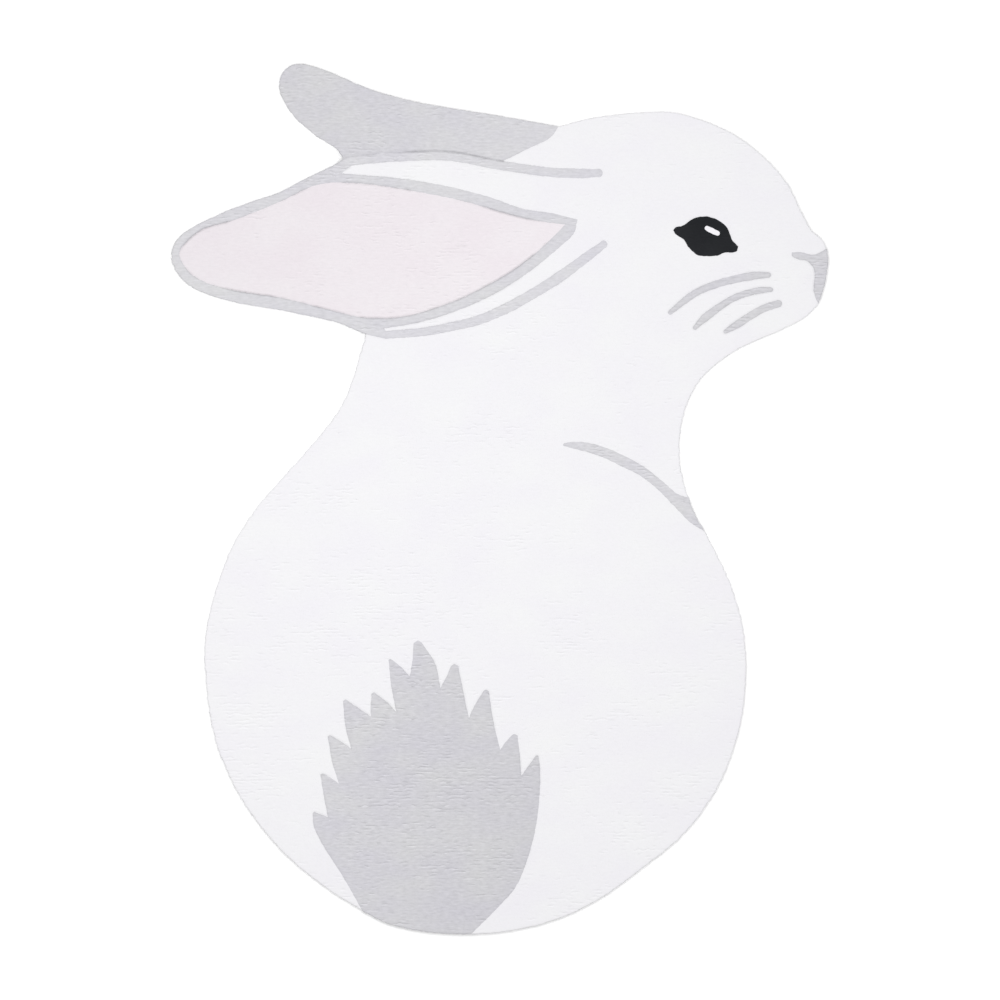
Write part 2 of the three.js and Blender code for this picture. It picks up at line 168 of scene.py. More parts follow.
# Narrow bands of yarn: x and y on the middle line, and the band's width there
UPPER_EAR_LINE = [
    (-204, 462, 12), (-149, 467, 12.5), (-75, 469, 12.5), (-45, 465, 12.5), (-17, 459, 12.5),
    (21, 453, 12.5), (66, 447, 13), (104, 445, 13.5), (135, 445.5, 11),
]
LOWER_EAR_LINE = [
    (-156, 224, 10.5), (-106, 228, 11.5), (-68, 235, 12), (-30, 244, 13), (8, 260, 14),
    (46, 281, 14), (84, 305, 14.5), (122, 333, 12.5), (142, 348, 10),
]
THIGH_LINE = [
    (89, 73.5, 5), (104, 72.5, 10), (123, 69, 12.5), (147, 61, 14), (170, 50, 14.5),
    (193, 38, 13), (216, 20.5, 12.5), (239, -0.5, 15.5), (254, -10, 25), (269, -17.5, 36),
    (290, -27, 42),
]
WHISKERS = [
    [(233, 254.5, 6), (251, 269.5, 9), (268, 281.5, 9.5), (300, 294.5, 10), (345, 304.5, 11),
     (367, 306, 8)],
    [(267, 234, 6), (280, 246.5, 10.5), (314, 271, 9), (335, 280, 9), (357, 285, 8.5),
     (371, 286, 6)],
    [(309, 228.5, 6), (322, 236.5, 10), (359, 259, 10), (381, 266.5, 10)],
]

# The eye: x, y along the two lid lines between its corners, and the glint as a narrow band
EYE_FRONT_CORNER = (326, 345)
EYE_REAR_CORNER = (237, 367)
UPPER_LID = [
    (240.5, 371), (250, 373.3), (260, 380.5), (268, 384.7), (283, 386), (299, 380.7), (310.5, 371),
    (315, 361), (318, 353.5),
]
LOWER_LID = [
    (323.5, 338.5), (315, 336.5), (307, 336.5), (300, 333), (283, 331.5), (270, 333.5),
    (257.5, 344.5), (251, 355), (241, 361),
]
EYE_GLINT = [(283, 370, 6), (290.5, 366.3, 7.4), (298, 362.5, 6.2)]

# The grey nose: x, y along its upper edge and along its edge towards the cheek
NOSE_TIP = (399, 337)
NOSE_TOP = [(458, 350), (440, 338), (429, 333.5), (413, 337)]
NOSE_CHEEK_SIDE = [(400, 331.5), (410, 327), (421, 324.5), (430, 313), (430, 281), (444, 252)]

# The tail's teeth of fur, each with a blunt tip: the x of the tip's middle and the y of its top,
# the tip's width, how far the fall to the notch bows outwards, the notch's x and y, and how far the
# rise to the next tip bows outwards. A bow is a part of its side's length.
TAIL_LEFT_SIDE = [(-181, -579), (-213, -522), (-246, -469), (-256, -447)]
TAIL_TEETH = [
    (-254, -429.5, 5, 0, -236, -436.5, 0.01),
    (-243, -376.5, 6, 0.04, -221, -391, 0.03),
    (-233, -324.5, 6, 0.02, -204, -343, 0.04),
    (-212, -275.5, 6, 0, -177, -299, 0.02),
    (-173, -266, 6, 0.04, -142, -293, 0.02),
    (-150, -220, 6, 0.04, -124, -244, -0.03),
    (-112.5, -195, 12, 0.09, -82, -260, -0.03),
    (-62.5, -227, 10, 0, -43, -301, 0.03),
    (-19, -262, 7, -0.02, 0, -345, 0.03),
    (19.5, -322.5, 9, 0.01, 29, -380, 0),
]
LAST_TOOTH = (50.5, -352, 5)
TIP_DROP = 0.3  # how far a tip's ends lie below its top, as part of its width
TAIL_RIGHT_SIDE = [(55, -380), (51, -436), (40, -486), (22, -531), (0, -557), (-49, -606)]

# Places outside the rug that close the colours which reach its edge
BEYOND_REAR_EAR = [(-340, 470), (-340, 640), (110, 640)]
BEYOND_FRONT_EAR = [(-480, 480), (-480, 200)]
BEYOND_NOSE = [(490, 255), (490, 350)]
BEYOND_TAIL = [(-120, -640)]

COLOURS = ["white", "grey", "pink", "black"]  # of the yarns

# The white pile is made as one piece for each of these zones: name, and its lowest y
WHITE_ZONES = [
    ("pile_white_head", 190),
    ("pile_white_shoulders", -70),
    ("pile_white_back", -290),
    ("pile_white_haunches", -700),
]


def ramp(value, low, high):
    """0 below low, 1 above high, and a smooth rise between them."""
    share = np.clip((value - low) / (high - low), 0, 1)
    return share * share * (3 - 2 * share)


def smooth_noise(seed, size=512):
    """A function of x and y that runs smoothly through random values, -1 to 1, one unit apart."""
    grid = np.random.default_rng(seed).uniform(-1, 1, (size, size))

    def corner(column, row):
        return grid[row % size, column % size]

    def value(x, y):
        left, below = np.floor(x).astype(int), np.floor(y).astype(int)
        across, up = ramp(x - left, 0, 1), ramp(y - below, 0, 1)
        low = corner(left, below) * (1 - across) + corner(left + 1, below) * across
        high = corner(left, below + 1) * (1 - across) + corner(left + 1, below + 1) * across
        return low * (1 - up) + high * up

    return value


sideways, upwards, drift, row_ends = map(smooth_noise, range(4))
wavers, dashes, patches, tufts, carving = map(smooth_noise, range(4, 9))


def row_drift(x, y):
    """How far the rows of tufts stray from straight lines."""
    return 2.2 * drift(x / 170, y / 90) + 0.6 * drift(x / 45, y / 40)


def smooth_path(places, step):
    """Points spaced evenly along the smooth curve through the places, each x, y and width."""
    knots = np.array([(*place, 0)[:3] for place in places], float)
    knots = np.vstack([2 * knots[0] - knots[1], knots, 2 * knots[-1] - knots[-2]])
    gaps = np.linalg.norm(np.diff(knots, axis=0), axis=1) ** 0.5
    t = np.linspace(0, 1, CURVE_PARTS, endpoint=False)[:, None]
    spans = []
    for i in range(len(knots) - 3):
        (a, b, c, d), (first, gap, last) = knots[i : i + 4], gaps[i : i + 3]
        leave = gap * ((b - a) / first - (c - a) / (first + gap) + (c - b) / gap)
        arrive = gap * ((c - b) / gap - (d - b) / (gap + last) + (d - c) / last)
        bend = 3 * (c - b) - 2 * leave - arrive
        spans.append(b + leave * t + bend * t**2 + (2 * (b - c) + leave + arrive) * t**3)
    fine = np.vstack([*spans, knots[-2:-1]])
    along = np.concatenate([[0], np.cumsum(np.linalg.norm(np.diff(fine, axis=0), axis=1))])
    at = np.linspace(0, along[-1], max(1, round(along[-1] / step)) + 1)
    return np.column_stack([np.interp(at, along, fine[:, i]) for i in range(3)])


def line(*places):
    return smooth_path(places, EDGE_STEP)[:, :2]


def unit(vectors):
    return vectors / np.maximum(np.linalg.norm(vectors, axis=1, keepdims=True), 1e-12)


def left_of(path, closed):
    """The vector to the left at each point, longer at a bend so that an offset line keeps its
    distance to both sides of it, up to SHARPEST_MITRE."""
    before, after = np.roll(path, 1, axis=0), np.roll(path, -1, axis=0)
    if not closed:
        before[0], after[-1] = 2 * path[0] - path[1], 2 * path[-1] - path[-2]
    arriving, leaving = unit(path - before), unit(after - path)
    mean = unit(arriving + leaving)
    reach = 1 / np.maximum(SHARPEST_MITRE, np.sum(mean * arriving, axis=1))
    return np.column_stack([-mean[:, 1], mean[:, 0]]) * reach[:, None]


def round_end(end, before, width):
    """The half circle round the end of a band's middle line."""
    direction = math.atan2(end[1] - before[1], end[0] - before[0])
    count = max(3, round(math.pi * width / 2 / EDGE_STEP))
    angles = direction + np.linspace(-math.pi / 2, math.pi / 2, count + 1)[1:-1]
    return end + width / 2 * np.column_stack([np.cos(angles), np.sin(angles)])


def band_edges(places):
    """Out along a band's right edge, round its end and back along its left edge."""
    path = smooth_path(places, EDGE_STEP)
    middle, width = path[:, :2], path[:, 2:]
    reach = left_of(middle, False) * width / 2
    end = round_end(middle[-1], middle[-2], width[-1, 0])
    return np.vstack([middle - reach, end, (middle + reach)[::-1]])


def lone_band(places):
    """All the way round a band that stands alone, such as a whisker."""
    path = smooth_path(places, EDGE_STEP)
    edges = band_edges(places)
    return np.vstack([edges, round_end(path[0, :2], path[1, :2], path[0, 2]), edges[:1]])


def bowed_side(start, end, bow):
    """A side of a tooth of fur, bowed to the left of the straight line."""
    (x1, y1), (x2, y2) = start, end
    middle = ((x1 + x2) / 2 - (y2 - y1) * bow, (y1 + y2) / 2 + (x2 - x1) * bow)
    return line(start, middle, end)


def blunt_tip(x, y, width):
    """The places along a tooth's tip, from its left end over its top to its right end."""
    reach, drop = width / 2, width * TIP_DROP
    return [(x - reach, y - drop), (x, y), (x + reach, y - drop)]


def tail_stretches():
    """The tail's edge as depth and path: up its left side, from tooth to tooth, and down its right
    side. The side where a tooth falls to a notch is carved deeper."""
    tips = [blunt_tip(*tooth[:3]) for tooth in TAIL_TEETH] + [blunt_tip(*LAST_TOOTH)]
    stretches = [(FAINT, line(*TAIL_LEFT_SIDE, tips[0][0])), (FAINT, line(*tips[0]))]
    for (*_, fall, x, y, rise), tip, following in zip(TAIL_TEETH, tips, tips[1:]):
        stretches.append((SHALLOW, bowed_side(tip[-1], (x, y), fall)))
        stretches.append((FAINT, bowed_side((x, y), following[0], rise)))
        stretches.append((FAINT, line(*following)))
    return [*stretches, (FAINT, line(tips[-1][-1], *TAIL_RIGHT_SIDE))]


def rug_edge():
    """The rug's edge, counter-clockwise from the notch between the ears."""
    front_ear = line(
        NOTCH_BETWEEN_EARS,
        *[(x, top) for x, top, bottom in FRONT_EAR],
        FRONT_EAR_TIP,
        *[(x, bottom) for x, top, bottom in reversed(FRONT_EAR)],
        NOTCH_AT_NECK,
    )
    body_and_head = line(
        NOTCH_AT_NECK,
        *[(left, y) for y, left, right in BODY],
        LOWEST_POINT,
        *[(right, y) for y, left, right in reversed(BODY)],
        *HEAD,
        REAR_EAR_JOINT,
    )
    rear_ear = line(
        REAR_EAR_JOINT, *REAR_EAR_TOP, REAR_EAR_TIP, *REAR_EAR_BOTTOM, NOTCH_BETWEEN_EARS
    )
    return np.vstack([front_ear[:-1], body_and_head[:-1], rear_ear[:-1]])


# Each part of the drawing gives its areas of coloured yarn, as colour, how light it is at its left
# and right ends, how much its rows part, and outline, and its carved lines, as depth and path.


def ear_drawing():
    root = line(*REAR_EAR_ROOT)
    rim_top = line(*EAR_RIM_TOP, EAR_RIM_CORNER)
    rim_bottom = line(EAR_RIM_CORNER, *EAR_RIM_BOTTOM)
    upper = np.vstack([NOTCH_BETWEEN_EARS, band_edges(UPPER_EAR_LINE)[::-1], EAR_RIM_TOP[0]])
    lower = np.vstack([EAR_RIM_BOTTOM[-1], band_edges(LOWER_EAR_LINE)[::-1], NOTCH_AT_NECK])
    inner = line(
        INNER_EAR_CORNER,
        *[(x, top) for x, top, bottom in reversed(INNER_EAR)],
        INNER_EAR_TIP,
        *[(x, bottom) for x, top, bottom in INNER_EAR],
        INNER_EAR_CORNER,
    )
    root_x = REAR_EAR_ROOT[-1][0]
    under_rear_ear = [(x, y) for x, y, width in reversed(UPPER_EAR_LINE) if x < root_x]
    rear_ear = np.vstack([root, under_rear_ear, NOTCH_BETWEEN_EARS, BEYOND_REAR_EAR])
    front_ear = np.vstack(
        [NOTCH_BETWEEN_EARS, BEYOND_FRONT_EAR, NOTCH_AT_NECK, rim_bottom[::-1], rim_top[::-1]]
    )
    areas = [
        ("grey", (-0.04, 0.26), 0.3, rear_ear),
        ("grey", (0.22, 0.25), 0.25, front_ear),
        ("grey", (0.3, 0.3), 0.4, upper),
        ("grey", (0.35, 0.35), 0.3, lower),
        ("pink", (-0.28, 0.12), 0.3, inner),
    ]
    beside_rear_ear = np.argmax(upper[:, 0] > root_x)
    lines = [
        (DEEP, upper[: beside_rear_ear + 1]),
        (FAINT, upper[beside_rear_ear:]),
        (FAINT, root),
        (FAINT, rim_top),
        (SHALLOW, rim_bottom),
        (FAINT, lower),
        (DEEP, inner),
    ]
    return areas, lines


def face_drawing():
    upper_lid = line(EYE_REAR_CORNER, *UPPER_LID, EYE_FRONT_CORNER)
    lower_lid = line(EYE_FRONT_CORNER, *LOWER_LID, EYE_REAR_CORNER)
    nose_top = line(*NOSE_TOP, NOSE_TIP)
    nose_side = line(NOSE_TIP, *NOSE_CHEEK_SIDE)
    glint = lone_band(EYE_GLINT)
    whiskers = [lone_band(whisker) for whisker in WHISKERS]
    areas = [("grey", (0.1, 0.1), 0.8, whisker) for whisker in whiskers]
    areas += [
        ("grey", (0.1, 0.1), 0.9, np.vstack([nose_top, nose_side, BEYOND_NOSE])),
        ("black", (0, 0), 0.5, np.vstack([upper_lid, lower_lid])),
        ("white", (0.4, 0.4), 0, glint),
    ]
    lines = [(SHALLOW, path) for path in (*whiskers, nose_side)]
    lines += [(FAINT, path) for path in (nose_top, upper_lid, lower_lid)]
    return areas, [*lines, (UNCARVED, glint)]


def body_drawing():
    thigh = band_edges(THIGH_LINE[::-1])
    tail = tail_stretches()
    tail_area = np.vstack([*[path for _, path in tail], BEYOND_TAIL])
    areas = [("grey", (0.2, 0.2), 0.8, thigh), ("grey", (0.13, -0.08), 0.6, tail_area)]
    return areas, [(FAINT, thigh), *tail]


def fit_to_cad(edge):
    """A function that moves a path from the drawn frame to the rug's own."""
    low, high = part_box("rug")
    scale = (high.y - low.y) / MM / np.ptp(edge[:, 1])
    middle = (edge.min(axis=0) + edge.max(axis=0)) / 2
    return lambda path: (path - middle) * scale


def unsteady(path):
    """The path as yarn follows it, a little off its line from tuft to tuft."""
    x, y = path.T / TUFT_SIZE
    return path + YARN_STRAY * np.column_stack([sideways(x, y), upwards(x, y)])


def ragged(edge):
    """The rug's edge, with each row of tufts ending a little further in or out."""
    outward = -left_of(edge, True)
    row = np.floor((edge[:, 1] - row_drift(*edge.T)) / ROW_PITCH)
    reach = ROW_END_REACH * row_ends(row, np.sign(edge[:, 0])) * np.abs(outward[:, 0])
    return edge + outward * reach[:, None]


def closed(loop):
    return np.vstack([loop, loop[:1]])


def inside(points, loop):
    """Which points lie inside the loop: those with an odd number of its sides to their right."""
    order = np.argsort(points[:, 1])
    xs, ys = points[order].T
    odd = np.zeros(len(points), bool)
    for (x1, y1), (x2, y2) in zip(loop, np.roll(loop, -1, axis=0)):
        if y1 == y2:
            continue
        span = slice(*np.searchsorted(ys, sorted((y1, y2))))
        odd[span] ^= xs[span] < x1 + (ys[span] - y1) * (x2 - x1) / (y2 - y1)
    result = np.empty_like(odd)
    result[order] = odd
    return result


def nearness(points, paths, reach):
    """1 for a point on a path, falling evenly to 0 for one at that distance from all of them."""
    order = np.argsort(points[:, 1])
    xs, ys = points[order].T
    nearest = np.full(len(points), float(reach))
    sides = [side for path in paths for side in zip(path, path[1:])]
    for (x1, y1), (x2, y2) in sides:
        dx, dy = x2 - x1, y2 - y1
        length = dx * dx + dy * dy
        if length == 0:
            continue
        span = slice(*np.searchsorted(ys, [min(y1, y2) - reach, max(y1, y2) + reach]))
        px, py = xs[span] - x1, ys[span] - y1
        near = np.flatnonzero(np.abs(px - dx / 2) < reach + abs(dx) / 2)
        px, py = px[near], py[near]
        share = np.clip((px * dx + py * dy) / length, 0, 1)
        found = np.hypot(px - share * dx, py - share * dy)
        nearest[near + span.start] = np.minimum(nearest[near + span.start], found)
    result = np.empty_like(nearest)
    result[order] = 1 - nearest / reach
    return result


def pile_points(edge, paths):
    """Points in lines along the rows of tufts, inside the edge and clear of the carved lines."""
    step = ROW_PITCH / ROW_SHARE
    (left, low), (right, high) = edge.min(axis=0), edge.max(axis=0)
    columns = np.arange(left, right, ALONG_STEP)
    rows = np.arange(math.floor(low / step) - ROW_SHARE, math.ceil(high / step) + ROW_SHARE)
    x, straight = np.meshgrid(columns, rows * step)
    x = x + (rows % 2)[:, None] * ALONG_STEP / 2
    x = x + np.random.default_rng(20).uniform(-PLACE_JITTER, PLACE_JITTER, x.shape)
    y = straight
    for _ in range(2):
        y = straight + row_drift(x, y)
    points = np.column_stack([x.ravel(), y.ravel()])
    points = points[inside(points, edge)]
    return points[nearness(points, paths, CLEAR_OF_LINES) == 0]


def triangulated(points, paths):
    """Points and triangles over all of them, with each path kept as a run of sides."""
    corners = [Vector(point) for point in np.vstack([*paths, points]).tolist()]
    sides, start = [], 0
    for path in paths:
        sides += [(i, i + 1) for i in range(start, start + len(path) - 1)]
        start += len(path)
    found, _, faces, *_ = delaunay_2d_cdt(corners, sides, [], 0, 1e-4, False)
    vertices = np.array([(x, y) for x, y in found])
    triangles = np.array(faces)
    a, b, c = (vertices[triangles[:, i]] for i in range(3))
    turned = (b - a)[:, 0] * (c - a)[:, 1] - (b - a)[:, 1] * (c - a)[:, 0] < 0
    triangles[turned] = triangles[turned][:, ::-1]
    return vertices, triangles


def row_marks(x, y, share):
    """How far the pile parts at each point where its rows part by that share, how hollow it is
    between any two rows, and how far its edge stands up below a parting."""
    along_rows = y - row_drift(x, y)
    row = np.round(along_rows / ROW_PITCH)
    above = along_rows - row * ROW_PITCH - ROW_WAVER * wavers(x / 6, row)
    step = ROW_PITCH / ROW_SHARE
    crowded = patches(x / 85, y / 50) + 0.5 * patches(x / 24, y / 18)
    dash = ramp(dashes(x / DASH_LENGTH + row / 3, row) + CROWDING * crowded + share, *DASH_RAMP)
    hollow = np.clip(1 - np.abs(above) / step, 0, 1)
    below = np.clip(1 - np.abs(above + step) / step, 0, 1)
    return dash * hollow, hollow, dash * below


def yarn_shades(points, areas):
    """How much the rows part at each point, and how light its yarn is."""
    parting = np.interp(points[:, 1], *zip(*WHITE_PARTING))
    lightness = np.zeros(len(points))
    for _, light, share, area in areas:
        within = inside(points, area)
        ends = (area[:, 0].min(), area[:, 0].max())
        parting[within], lightness[within] = share, np.interp(points[within, 0], ends, light)
    return parting, lightness


def pile_heights(points, edge, areas, lines):
    """The height of the pile at each point, and its tone with painted shade and highlight."""
    x, y = points.T
    share, lightness = yarn_shades(points, areas)
    share += RIM_PARTING * nearness(points, [closed(edge)], RIM_ROWS)
    rim = nearness(points, [closed(edge)], RIM_WIDTH)
    rounded = RIM_DROP * (1 - np.sqrt(1 - rim**2))
    groove = np.zeros(len(points))
    for depth, path in lines:
        groove = np.maximum(groove, depth * nearness(points, [path], GROOVE_HALF_WIDTH))
    unevenness = ramp(carving(x / 40, y / 30) + 0.5 * carving(x / 9, y / 9), -0.9, 0.7)
    groove *= LEAST_CARVING + (1 - LEAST_CARVING) * unevenness
    parted, hollow, raised = row_marks(x, y, share)
    rows = PARTING_DEPTH * parted - LIP_RISE * raised + ROW_DEPTH * hollow
    lumps = TUFT_RISE * tufts(x / TUFT_SIZE, y / TUFT_SIZE)
    level = (1 - rim) * (1 - groove)
    heights = THICKNESS - np.maximum(rounded, GROOVE_DEPTH * groove) + (lumps - rows) * level
    # Each area's lightness, with painted shade in partings and carved grooves and a painted
    # highlight on the lip below a parting
    tone_and_painted_shade = lightness + PARTING_SHADE * (raised - parted) * level - GROOVE_SHADE * groove
    return heights, tone_and_painted_shade


def open_sides(triangles, count):
    """The corners along the open edge of a mesh of triangles, in order, and the triangle at each
    of the sides that follow them."""
    sides = np.vstack([triangles[:, [0, 1]], triangles[:, [1, 2]], triangles[:, [2, 0]]])
    owner = np.tile(np.arange(len(triangles)), 3)
    lone = ~np.isin(sides @ [count, 1], sides @ [1, count])
    following = {a: (b, side) for (a, b), side in zip(sides[lone].tolist(), owner[lone])}
    ring, owners, at = [], [], next(iter(following))
    for _ in range(len(following)):
        ring.append(at)
        at, triangle = following[at]
        owners.append(triangle)
    return np.array(ring), np.array(owners)


def side_wall(vertices, triangles, colours):
    """The side of the pile under the rounded rim, with each tuft's ends standing out a little."""
    ring, owners = open_sides(triangles, len(vertices))
    inward = left_of(vertices[ring, :2], True)
    x, y = vertices[ring, :2].T
    rings, faces = [], []
    high = ring
    for level, (height, inset) in enumerate(SIDE_RINGS):
        tuft = SIDE_TUFT_REACH * tufts(x / SIDE_TUFT_SIZE + level / 2, y / SIDE_TUFT_SIZE)
        place = vertices[ring, :2] + inward * (inset + tuft)[:, None]
        rings.append(np.column_stack([place, np.full(len(ring), height)]))
        low = len(vertices) + level * len(ring) + np.arange(len(ring))
        faces.append(np.column_stack([np.roll(high, -1), high, low]))
        faces.append(np.column_stack([np.roll(high, -1), low, np.roll(low, -1)]))
        high = low
    return np.vstack(rings), np.vstack(faces), np.tile(colours[owners], len(faces))


def corner_normals(vertices, triangles):
    a, b, c = (vertices[triangles[:, i]] for i in range(3))
    faces = np.cross(b - a, c - a)
    flat = triangles.ravel()
    sums = [np.bincount(flat, np.repeat(faces[:, i], 3), len(vertices)) for i in range(3)]
    return unit(np.column_stack(sums))


def add_mesh(name, vertices, triangles):
    """A new object with these triangles, from millimetres."""
    mesh = bpy.data.meshes.new(name)
    mesh.vertices.add(len(vertices))
    mesh.vertices.foreach_set("co", (vertices * MM).ravel())
    mesh.loops.add(triangles.size)
    mesh.loops.foreach_set("vertex_index", triangles.ravel())
    mesh.polygons.add(len(triangles))
    mesh.polygons.foreach_set("loop_start", np.arange(0, triangles.size, 3))
    mesh.update(calc_edges=True)
    mesh.shade_smooth()
    piece = bpy.data.objects.new(name, mesh)
    bpy.context.scene.collection.objects.link(piece)
    return piece


def add_pile(name, pile, chosen, material):
    """One piece of the pile, lit as part of the whole."""
    used, corners = np.unique(pile["triangles"][chosen], return_inverse=True)
    piece = add_mesh(name, pile["vertices"][used], corners.reshape(-1, 3))
    piece.data.normals_split_custom_set_from_vertices(pile["normals"][used])
    # Each corner's tone, with painted shade and painted highlight, for the material
    tone_and_painted_shade = piece.data.attributes.new("tone_and_painted_shade", "FLOAT", "POINT")
    tone_and_painted_shade.data.foreach_set("value", pile["tone_and_painted_shade"][used])
    piece.data.materials.append(material)
    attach(piece, "root")
    return piece


def make_pile(edge, areas, lines):
    """The whole surface of the pile: its points, triangles, normals, tone with painted shade and
    yarn colours.
    """
    paths = [closed(edge), *[path for _, path in lines]]
    flat, triangles = triangulated(pile_points(edge, paths), paths)
    centres = flat[triangles].mean(axis=1)
    kept = inside(centres, edge)
    triangles, centres = triangles[kept], centres[kept]
    colours = np.zeros(len(triangles), int)
    for colour, *_, area in areas:
        colours[inside(centres, area)] = COLOURS.index(colour)
    heights, tone_and_painted_shade = pile_heights(flat, edge, areas, lines)
    top = np.column_stack([flat, heights])
    ring, wall, wall_colours = side_wall(top, triangles, colours)
    vertices, triangles = np.vstack([top, ring]), np.vstack([triangles, wall])
    return {
        "vertices": vertices,
        "triangles": triangles,
        "normals": corner_normals(vertices, triangles),
        # The side of the pile gets painted shade
        "tone_and_painted_shade": np.concatenate([tone_and_painted_shade, np.full(len(ring), SIDE_PAINTED_SHADE)]),
        "colours": np.concatenate([colours, wall_colours]),
    }


def white_zone(pile):
    """The number of the zone of white pile that each triangle lies in."""
    x, y = pile["vertices"][pile["triangles"], :2].mean(axis=1).T
    row = np.floor((y - row_drift(x, y)) / ROW_PITCH)
    lowest = [y for _, y in WHITE_ZONES[:-1]]
    return np.sum([row * ROW_PITCH < y for y in lowest], axis=0)


def make_base_cloth(edge):
    """The woven cloth that the pile is tufted into, with its flat underside on the floor."""
    border = edge[:: round(CLOTH_STEP / EDGE_STEP)]
    border = border + left_of(border, True) * CLOTH_INSET
    flat, triangles = triangulated(np.empty((0, 2)), [closed(border)])
    triangles = triangles[inside(flat[triangles].mean(axis=1), border)]
    ring, _ = open_sides(triangles, len(flat))
    count, after = len(flat), np.roll(ring, -1)
    under = np.column_stack([flat, np.zeros(count)])
    top = np.column_stack([flat, np.full(count, CLOTH_THICKNESS)])
    sides = [
        np.column_stack([ring, after, after + count]),
        np.column_stack([ring, after + count, ring + count]),
    ]
    faces = np.vstack([triangles[:, ::-1], triangles + count, *sides])
    cloth = add_mesh("base_cloth", np.vstack([under, top]), faces)
    cloth.data.shade_flat()
    return cloth


def new_material(name, roughness, sheen):
    material = bpy.data.materials.new(name)
    material.use_nodes = True
    shader = material.node_tree.nodes["Principled BSDF"]
    shader.inputs["Roughness"].default_value = roughness
    shader.inputs["Specular IOR Level"].default_value = 0.1
    shader.inputs["Sheen Weight"].default_value = sheen
    shader.inputs["Sheen Roughness"].default_value = 0.6
    return material, shader


def add_node(tree, kind, links=(), **settings):
    """A node with its settings, its inputs linked or set by name or number."""
    node = tree.nodes.new(kind)
    for name, value in settings.items():
        setattr(node, name, value)
    for key, value in dict(links).items():
        if isinstance(value, bpy.types.NodeSocket):
            tree.links.new(value, node.inputs[key])
        else:
            node.inputs[key].default_value = value
    return node


def add_noise(tree, place, size, stretch=1.0, detail=2.0):
    """Noise with patches of that size in metres, longer along x by stretch."""
    scale = (1 / stretch, 1, 1)
    moved = add_node(tree, "ShaderNodeMapping", {"Vector": place, "Scale": scale})
    inputs = {"Vector": moved.outputs["Vector"], "Scale": 1 / size, "Detail": detail}
    return add_node(tree, "ShaderNodeTexNoise", inputs).outputs["Fac"]


def add_math(tree, operation, *values):
    return add_node(
        tree, "ShaderNodeMath", dict(enumerate(values)), operation=operation
    ).outputs["Value"]


PILE_ROUGHNESS, PILE_SHEEN = 0.95, 0.08
CLOTH_ROUGHNESS, CLOTH_SHEEN = 0.9, 0.05
FLOOR_ROUGHNESS = 0.9
CLOUD_SIZE = 0.045  # of the soft clouds of tone, in metres
FIBRE_SIZE = 0.0016
STREAK_SIZE = 0.0024
SLUB_SIZE = 0.006  # of the uneven threads in the cloth
FIBRE_ENDS = 900  # to the metre
WEAVE_SHADE = 0.06  # how much darker the cloth is between its threads

# Each yarn: its two tones, and how strongly its tone with painted shade, its fibre ends and its
# streaks show
YARNS = {
    "white": ((0.650, 0.641, 0.669), (0.662, 0.661, 0.671), 0.1, 0.035, 0.05),
    "grey": ((0.457, 0.450, 0.485), (0.482, 0.480, 0.491), 0.25, 0.12, 0.35),
    "pink": ((0.622, 0.580, 0.609), (0.634, 0.604, 0.626), 0.12, 0.05, 0.1),
    "black": ((0.008, 0.009, 0.011), (0.013, 0.014, 0.016), 0.2, 0.4, 0.4),
}


def pile_material(name, tone_one, tone_two, tone_and_shade_contrast, grain, streak):
    """Cut yarn: two tones in soft clouds, a fine grain of fibre ends and streaks along the rows,
    with painted shade where it is parted, grooved and on its side, and a painted highlight on a lip."""
    material, shader = new_material(name, PILE_ROUGHNESS, PILE_SHEEN)
    tree = material.node_tree
    place = add_node(tree, "ShaderNodeTexCoord").outputs["Object"]
    clouds = add_noise(tree, place, CLOUD_SIZE, stretch=1.6, detail=3)
    sharper = add_math(tree, "MULTIPLY_ADD", clouds, 2.4, -0.7)
    tones = {"Factor": sharper, 6: (*tone_one, 1), 7: (*tone_two, 1)}
    tone = add_node(tree, "ShaderNodeMix", tones, data_type="RGBA").outputs[2]
    tone_and_painted_shade = add_node(tree, "ShaderNodeAttribute", attribute_name="tone_and_painted_shade").outputs["Fac"]
    fibres = add_noise(tree, place, FIBRE_SIZE, stretch=1.8)
    streaks = add_noise(tree, place, STREAK_SIZE, stretch=4)
    # The pile's tone with painted shade and painted highlight, scaled by the yarn's contrast
    light = add_math(tree, "MULTIPLY_ADD", tone_and_painted_shade, tone_and_shade_contrast, 1 - (grain + streak) / 2)
    light = add_math(tree, "MULTIPLY_ADD", fibres, grain, light)
    light = add_math(tree, "MULTIPLY_ADD", streaks, streak, light)
    shaded = add_node(tree, "ShaderNodeVectorMath", {0: tone, 3: light}, operation="SCALE")
    tree.links.new(shaded.outputs["Vector"], shader.inputs["Base Color"])
    ends = add_node(tree, "ShaderNodeTexVoronoi", {"Vector": place, "Scale": FIBRE_ENDS})
    height = add_math(tree, "MULTIPLY_ADD", ends.outputs["Distance"], -0.6, fibres)
    bump = {"Height": height, "Strength": 0.35, "Distance": 0.0006}
    tree.links.new(add_node(tree, "ShaderNodeBump", bump).outputs["Normal"], shader.inputs["Normal"])
    return material


